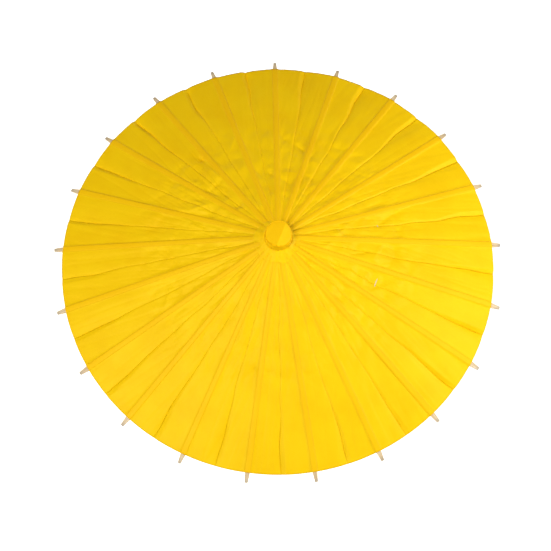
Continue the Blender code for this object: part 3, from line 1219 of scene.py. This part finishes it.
@dataclass
class PaperKnob:
    """The paper wrapped over the head, and the collar of paper flaps round it.

    The gathers round the cap, in millimetres, are the mean, the pleats and the fine ones.
    """

    cage: RibCage
    finish: bpy.types.Material
    cap_radius: float
    crown: float
    hem: float
    wall: float = 0.3 * MM
    groove_depth: float = 0.7 * MM
    fold_turn: float = math.radians(-22)
    fold_reach: float = 2.6 * MM
    fold_rise: float = 2.7 * MM
    fold_slopes: tuple[float, float] = (0.12, 0.4)
    collar_wall: float = 0.12 * MM
    collar_inner: float = 12.3 * MM
    collar_outer: float = 20.0 * MM
    flaps: int = 7
    lift: float = 2.32 * MM
    panel_inset: float = 1.15 * MM
    panel_round: float = 0.45 * MM
    shoulder_inset: float = 0.2 * MM
    shoulder_drop: float = 0.25 * MM
    edge_drop: float = 0.8 * MM
    cap_crease: float = 0.3 * MM
    cap_crease_pitch: float = 11 * MM
    gathers: tuple[float, float, float] = (0.1, 0.25, 0.16)
    pleat_rate: float = 3.6
    fine_rate: float = 11
    ragged: float = 3.0 * MM
    lopsided: float = 2.4 * MM
    collar_swell: float = 0.5 * MM
    collar_facet: float = 1.5 * MM
    collar_facet_pitch: float = 9 * MM
    collar_rise: float = 0.9 * MM
    collar_drape: float = 0.3 * MM
    collar_length: float = 10 * MM
    closed_share: float = 0.68
    cap_rings: int = 50
    cap_around: int = 120
    flap_columns: int = 42
    flap_rows: int = 16

    # How far the middle of the top lies below the frame's cap.
    SUNK: ClassVar[float] = 0.2 * MM

    # Shares of the way from the middle of the top to the hem.
    GATHER_START: ClassVar[float] = 0.45
    PANEL_EDGE: ClassVar[float] = 0.5
    GROOVE: ClassVar[float] = 0.56
    SHOULDER: ClassVar[float] = 0.62
    EDGE: ClassVar[float] = 0.66
    FACET_END: ClassVar[float] = 0.8

    def cap_point(self, turn: float, share: float) -> Vector:
        """A point of the cap.

        Args:
            turn: The direction from +X.
            share: From 0 at the middle of the top to 1 at the hem.

        Returns:
            The point.
        """
        ring = level(turn)
        panel = self.cap_radius - self.panel_inset
        profile = [
            (0, 0, 0),
            (self.PANEL_EDGE, panel, 0),
            (self.GROOVE, panel + self.panel_round, self.groove_depth),
            (self.SHOULDER, self.cap_radius - self.shoulder_inset, self.shoulder_drop),
        ]
        radii = [(stop, radius) for stop, radius, _ in profile] + [(1, self.cap_radius)]
        drops = [(stop, drop) for stop, _, drop in profile] + [(self.EDGE, self.edge_drop)]
        radius, drop = follow(radii, share), follow(drops, share)
        if share > self.EDGE:
            down = (share - self.EDGE) / (1 - self.EDGE)
            drop += (self.crown - self.edge_drop - self.hem) * down
        pleat = wobble(math.cos(turn) * self.pleat_rate, math.sin(turn) * self.pleat_rate, 3.0)
        fine = wobble(math.cos(turn) * self.fine_rate, math.sin(turn) * self.fine_rate, share * 2)
        gathered = smooth_step(self.GATHER_START, self.GROOVE, share)
        mean, pleats, fines = self.gathers
        radius -= gathered * (mean + pleats * pleat + fines * fine) * MM
        place = ring * radius
        facet = self.top_facet(place) * (1 - smooth_step(self.SHOULDER, self.FACET_END, share))
        crushed = crumple(place + Vector((0, 0, 0.013)), self.cap_crease_pitch, octaves=2)
        crease = crushed * self.cap_crease
        return place + Vector((0, 0, self.crown - drop + facet + crease))

    def past_fold(self, place: Vector) -> float:
        """How far a point is past the fold across the top, less than 0 before it."""
        out = place.x * math.cos(self.fold_turn) + place.y * math.sin(self.fold_turn)
        return out - self.fold_reach

    def top_facet(self, place: Vector) -> float:
        """The fold across the top, gentle on one side and steeper on the other.

        Args:
            place: The point, seen from above.

        Returns:
            The height of the top there, over a flat one.
        """
        past = self.past_fold(place)
        gentle, steep = self.fold_slopes
        return self.fold_rise + (gentle * past if past < 0 else -steep * past)

    def build_cap(self) -> bpy.types.Object:
        """The paper over the head, as one closed shell.

        Returns:
            The piece.
        """
        bm = bmesh.new()
        stops = range(self.cap_rings + 1)
        spine = [bm.verts.new((k / self.cap_rings, 0, 0)) for k in stops]
        edges = [bm.edges.new(pair) for pair in zip(spine, spine[1:])]
        bmesh.ops.spin(
            bm,
            geom=spine + edges,
            axis=(0, 0, 1),
            cent=(0, 0, 0),
            angle=math.tau,
            steps=self.cap_around,
            use_merge=True,
        )
        bmesh.ops.remove_doubles(bm, verts=bm.verts, dist=1e-5)
        across = bm.verts.layers.float.new("across")
        along = bm.verts.layers.float.new("along")
        for vert in bm.verts:
            share = vert.co.xy.length
            vert.co = self.cap_point(math.atan2(vert.co.y, vert.co.x), share)
            # Paper lying on the head, inside the groove and before the fold, gets across 0 and so
            # the paper finish's painted glow; the rest of the cap is plain paper.
            glued = share < self.GROOVE and self.past_fold(vert.co) < 0
            vert[across], vert[along] = 0.0 if glued else FREE_PAPER, 0.0
        bmesh.ops.recalc_face_normals(bm, faces=bm.faces)
        top = max(bm.faces, key=lambda face: face.calc_center_median().z)
        if top.normal.z < 0:
            bmesh.ops.reverse_faces(bm, faces=bm.faces)
        return new_object("paper_cap", bm, 50)

    def build_flap(self, index: int) -> bpy.types.Object:
        """One flap of the collar, over three ribs.

        Args:
            index: The flap.

        Returns:
            The piece.
        """
        ribs = self.cage.count // self.flaps
        middle = index * ribs + ribs // 2

        def place(u: float, v: float) -> tuple[Vector, float, float]:
            """A point of the flap.

            Args:
                u: The share across, from 0 to 1.
                v: The share outwards, from 0 to 1.

            Returns:
                The point, its distance from the rib's middle line and its distance along the rib.
            """
            turn = self.cage.azimuth(middle + ribs * (u - 0.5))
            ring = level(turn)
            ragged = noise.noise(ring * 2.1 + Vector((0, 0, 6.6)))
            outer = self.collar_outer + self.ragged * ragged
            outer -= self.lopsided * math.cos(turn - 1.0)
            radius = self.collar_inner + (outer - self.collar_inner) * v
            along = self.cage.along_at(radius, self.lift)
            fold = noise.noise(ring * 3.3 + Vector((0, 0, v * 0.5)))
            spot = ring * radius + Vector((0, 0, 0.031))
            facet = crumple(spot, self.collar_facet_pitch, octaves=2)
            between_ribs = 0.5 - 0.5 * math.cos(self.cage.count * (turn - math.pi / 2))
            slack = math.sin(math.pi * min(1.0, 0.15 + 0.85 * v))
            height = self.lift + (self.collar_swell * fold + self.collar_facet * facet) * slack
            height += self.collar_rise * (1 - smooth_step(0.0, 0.6, v))
            height -= self.collar_drape * v * between_ribs
            drop = math.sin(self.cage.slope) * along
            z = self.cage.hinge_height - drop + height * math.cos(self.cage.slope)
            return ring * radius + Vector((0, 0, z)), FREE_PAPER, 0.0

        name = f"collar_flap_{index + 1}"
        return shaped_grid(name, self.flap_columns, self.flap_rows, place)

    def build(self) -> None:
        """Build, dress and place the cap and the collar."""
        cap = self.build_cap()
        thicken(cap, self.wall)
        dress(cap, self.finish, "top_cap", "frame")
        spread = 2 * (self.cap_radius + self.crown - self.hem)
        math.pi / 4 * spread**2
        ribs = self.cage.count // self.flaps
        for index in range(self.flaps):
            middle = index * ribs + ribs // 2
            flap = self.build_flap(index)
            thicken(flap, self.collar_wall)
            dress(flap, self.finish, "cap_skirt", self.cage.body(middle))
            axes = self.cage.axes(middle)
            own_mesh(flap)
            turn = math.pi / self.flaps
            area = turn * (self.collar_outer**2 - self.collar_inner**2) / math.cos(self.cage.slope)
            2 * self.collar_outer * math.sin(turn)
            self.cage.body(middle)


@dataclass
class JointThread:
    """The thread that runs round the rib joints, as one span for each rib."""

    cage: RibCage
    finish: bpy.types.Material
    radius: float = 0.4 * MM
    straight: float = 3.2 * MM
    sag: float = 0.5 * MM
    closed_slope: float = math.radians(85)
    round_steps: int = 2
    long_steps: int = 8
    short_steps: int = 2

    def build_span(self, index: int) -> bpy.types.Object:
        """The thread through one rib, out to the middle of the gores beside it.

        Args:
            index: The rib.

        Returns:
            The piece.
        """
        axes = self.cage.axes(index)
        knee = axes.point(self.cage.link, 0, 0)
        out = knee.xy.length
        half = self.cage.half_pitch
        reach = out * math.cos(half) + self.straight * math.sin(half)
        ends = []
        for sign in (-1, 1):
            turn = self.cage.azimuth(index + sign * 0.5)
            ends.append(Vector((math.cos(turn) * reach, math.sin(turn) * reach, knee.z)))
        eye = [knee - axes.across * self.straight, knee + axes.across * self.straight]
        points = [ends[0], eye[0], knee, eye[1], ends[1]]
        curve = bpy.data.curves.new("span", "CURVE")
        curve.dimensions = "3D"
        curve.bevel_depth = self.radius
        curve.bevel_resolution = self.round_steps
        curve.use_fill_caps = True
        spline = curve.splines.new("POLY")
        fine = []
        for near, far in zip(points, points[1:]):
            is_long = (far - near).length > 2 * self.straight
            steps = self.long_steps if is_long else self.short_steps
            fine.extend(near.lerp(far, k / steps) for k in range(steps))
        fine.append(points[-1])
        spline.points.add(len(fine) - 1)
        for place, point in zip(spline.points, fine, strict=True):
            share = (point - knee).dot(axes.across) / (out * math.sin(half))
            sag = self.sag * math.sin(math.pi * min(1.0, abs(share)))
            place.co = (*(point - Vector((0, 0, sag))), 1)
        tube = linked("span", curve)
        graph = bpy.context.evaluated_depsgraph_get()
        mesh = bpy.data.meshes.new_from_object(tube.evaluated_get(graph), depsgraph=graph)
        bpy.data.objects.remove(tube, do_unlink=True)
        bm = bmesh.new()
        bm.from_mesh(mesh)
        bpy.data.meshes.remove(mesh)
        return new_object(f"joint_thread_{index + 1:02d}", bm, 60)

    def build(self) -> None:
        """Build, dress and place the spans."""
        for index in range(self.cage.count):
            span = self.build_span(index)
            dress(span, self.finish, "joint_thread", self.cage.body(index))
            axes = self.cage.axes(index)
            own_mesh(span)


# ------------------------
# The wooden parts
# ------------------------


@dataclass
class WoodenFrame:
    """The parts that the frame already shapes, which only get their finishes."""

    cage: RibCage
    nodes: dict[str, bpy.types.Object]
    tip_radius: float

    def dress(self) -> None:
        """Give every part of the frame its finish."""
        slope, count = self.cage.slope, self.cage.count
        rib = BambooFinish(
            "rib_bamboo",
            Grain.DOWN_THE_RIB,
            slope=slope,
            rib_count=count,
            tip_radius=self.tip_radius,
        ).make()
        stretcher = BambooFinish(
            "stretcher_bamboo", Grain.DOWN_THE_STRETCHER, slope=slope, rib_count=count
        ).make()
        stick = BambooFinish("shaft_bamboo", Grain.UPRIGHT).make()
        wood = TurnedWoodFinish().make()
        thread = CottonThreadFinish("ring_thread_white").make()
        steel = SteelFinish().make()
        finishes = {
            "rib_": rib,
            "stretcher_": stretcher,
            "shaft": stick,
            "catch": stick,
            "catch_pin": steel,
            "head_pin": steel,
            "handle_grip": wood,
            "head": wood,
            "runner": wood,
            "head_thread": thread,
            "runner_thread": thread,
        }
        for name, node in self.nodes.items():
            found = finishes.get(name) or finishes.get(name.rstrip("0123456789"))
            if found is None:
                continue
            for place in range(len(node.material_slots)):
                node.material_slots[place].material = found
            LOG.info("%s is dressed as %s", name, found.name)


# ------------------------
# The studio
# ------------------------


@dataclass
class Studio:
    """A pale floor, soft lamps and the camera, high above the front of the umbrella."""

    rim_height: float
    rim_radius: float
    elevation: float = math.radians(69.65)
    azimuth: float = math.radians(-1.86)
    roll: float = math.radians(1.08)
    distance: float = 7.0
    lens: float = 98.8
    shift: tuple[float, float] = (-0.0044, -0.0249)
    floor_half: float = 8.0
    floor_glow: float = 0.85
    sensor_width: float = 36
    air_glow: float = 0.02
    white: Colour = (1.0, 1.0, 1.0, 1.0)

    def build_camera(self) -> None:
        """Make the camera, which looks down at the rim's centre with a shifted lens."""
        target = Vector((0, 0, self.rim_height))
        flat, rise = math.cos(self.elevation), math.sin(self.elevation)
        back = Vector((math.sin(self.azimuth) * flat, -math.cos(self.azimuth) * flat, rise))
        data = bpy.data.cameras.new("camera")
        data.lens = self.lens
        data.sensor_width = self.sensor_width
        data.shift_x, data.shift_y = self.shift
        camera = linked("camera", data)
        camera.rotation_mode = "QUATERNION"
        camera.location = target + back * self.distance * self.rim_radius
        turned = Quaternion((0, 0, 1), self.roll)
        camera.rotation_quaternion = (-back).to_track_quat("-Z", "Y") @ turned
        bpy.context.scene.camera = camera

    def build_floor(self) -> None:
        """Make the floor, which gives off a little light and is clear from below."""
        bm = bmesh.new()
        bmesh.ops.create_grid(bm, x_segments=1, y_segments=1, size=self.floor_half)
        floor = new_object("floor", bm)
        board = Board("pale_floor")
        board.finish(
            Base_Color=(0.9, 0.9, 0.9, 1.0),
            Roughness=0.9,
            Emission_Color=self.white,
            Emission_Strength=self.floor_glow,
        )
        clear = board.node("ShaderNodeBsdfTransparent")
        behind = board.node("ShaderNodeNewGeometry", output="Backfacing")
        plain = Wire(board, board.shader.outputs[0])
        mixed = board.node("ShaderNodeMixShader", {}, {0: behind, 1: plain, 2: clear})
        board.feed(board.tree.nodes["Material Output"].inputs["Surface"], mixed)
        floor.data.materials.append(board.material)

    def build_lamp(
        self, name: str, turn: float, rise: float, away: float, size: float, watts: float
    ) -> None:
        """Make a square soft lamp that faces the canopy.

        Args:
            name: The lamp's name.
            turn: Its direction from the shaft, in degrees.
            rise: How many degrees it is above the rim.
            away: Its distance.
            size: The length of its side.
            watts: Its power.
        """
        data = bpy.data.lights.new(name, "AREA")
        data.shape = "SQUARE"
        data.size = size
        data.energy = watts
        lamp = linked(name, data)
        turn, rise = math.radians(turn), math.radians(rise)
        out = level(turn) * math.cos(rise)
        out.z = math.sin(rise)
        lamp.location = out * away + Vector((0, 0, self.rim_height))
        lamp.rotation_mode = "QUATERNION"
        lamp.rotation_quaternion = (-out).to_track_quat("-Z", "Y")

    def build_air(self) -> None:
        """Fill the room with even white light."""
        world = bpy.data.worlds.new("room")
        world.use_nodes = True
        sky = world.node_tree.nodes["Background"]
        sky.inputs["Color"].default_value = self.white
        sky.inputs["Strength"].default_value = self.air_glow
        bpy.context.scene.world = world
        bpy.context.scene.view_settings.view_transform = "Standard"

    def build(self) -> None:
        """Build the whole studio."""
        self.build_camera()
        self.build_floor()
        self.build_air()
        self.build_lamp("key", turn=-5, rise=30, away=0.8, size=0.5, watts=4.8)
        self.build_lamp("fill", turn=-150, rise=58, away=1.5, size=0.8, watts=20)


def main() -> None:
    """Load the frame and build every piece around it."""
    logging.basicConfig(level=logging.INFO, format="%(message)s")
    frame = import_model()
    cage = RibCage.from_joints(frame["joints"])
    canopy_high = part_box("canopy_paper")[1]
    cap_low, cap_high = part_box("top_cap")
    rib_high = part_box("rib_01")[1]
    rim_radius = canopy_high.y
    paper = OiledPaperFinish().make()
    thread = CottonThreadFinish().make()
    canopy = PaperCanopy(cage, paper, rim_radius)
    Studio(canopy.rim_height, rim_radius).build()
    canopy.build()
    PaperKnob(cage, paper, cap_high.y, cap_high.z - PaperKnob.SUNK, cap_low.z).build()
    JointThread(cage, thread).build()
    WoodenFrame(cage, frame["nodes"], rib_high.y).dress()


if __name__ == "__main__":
    main()
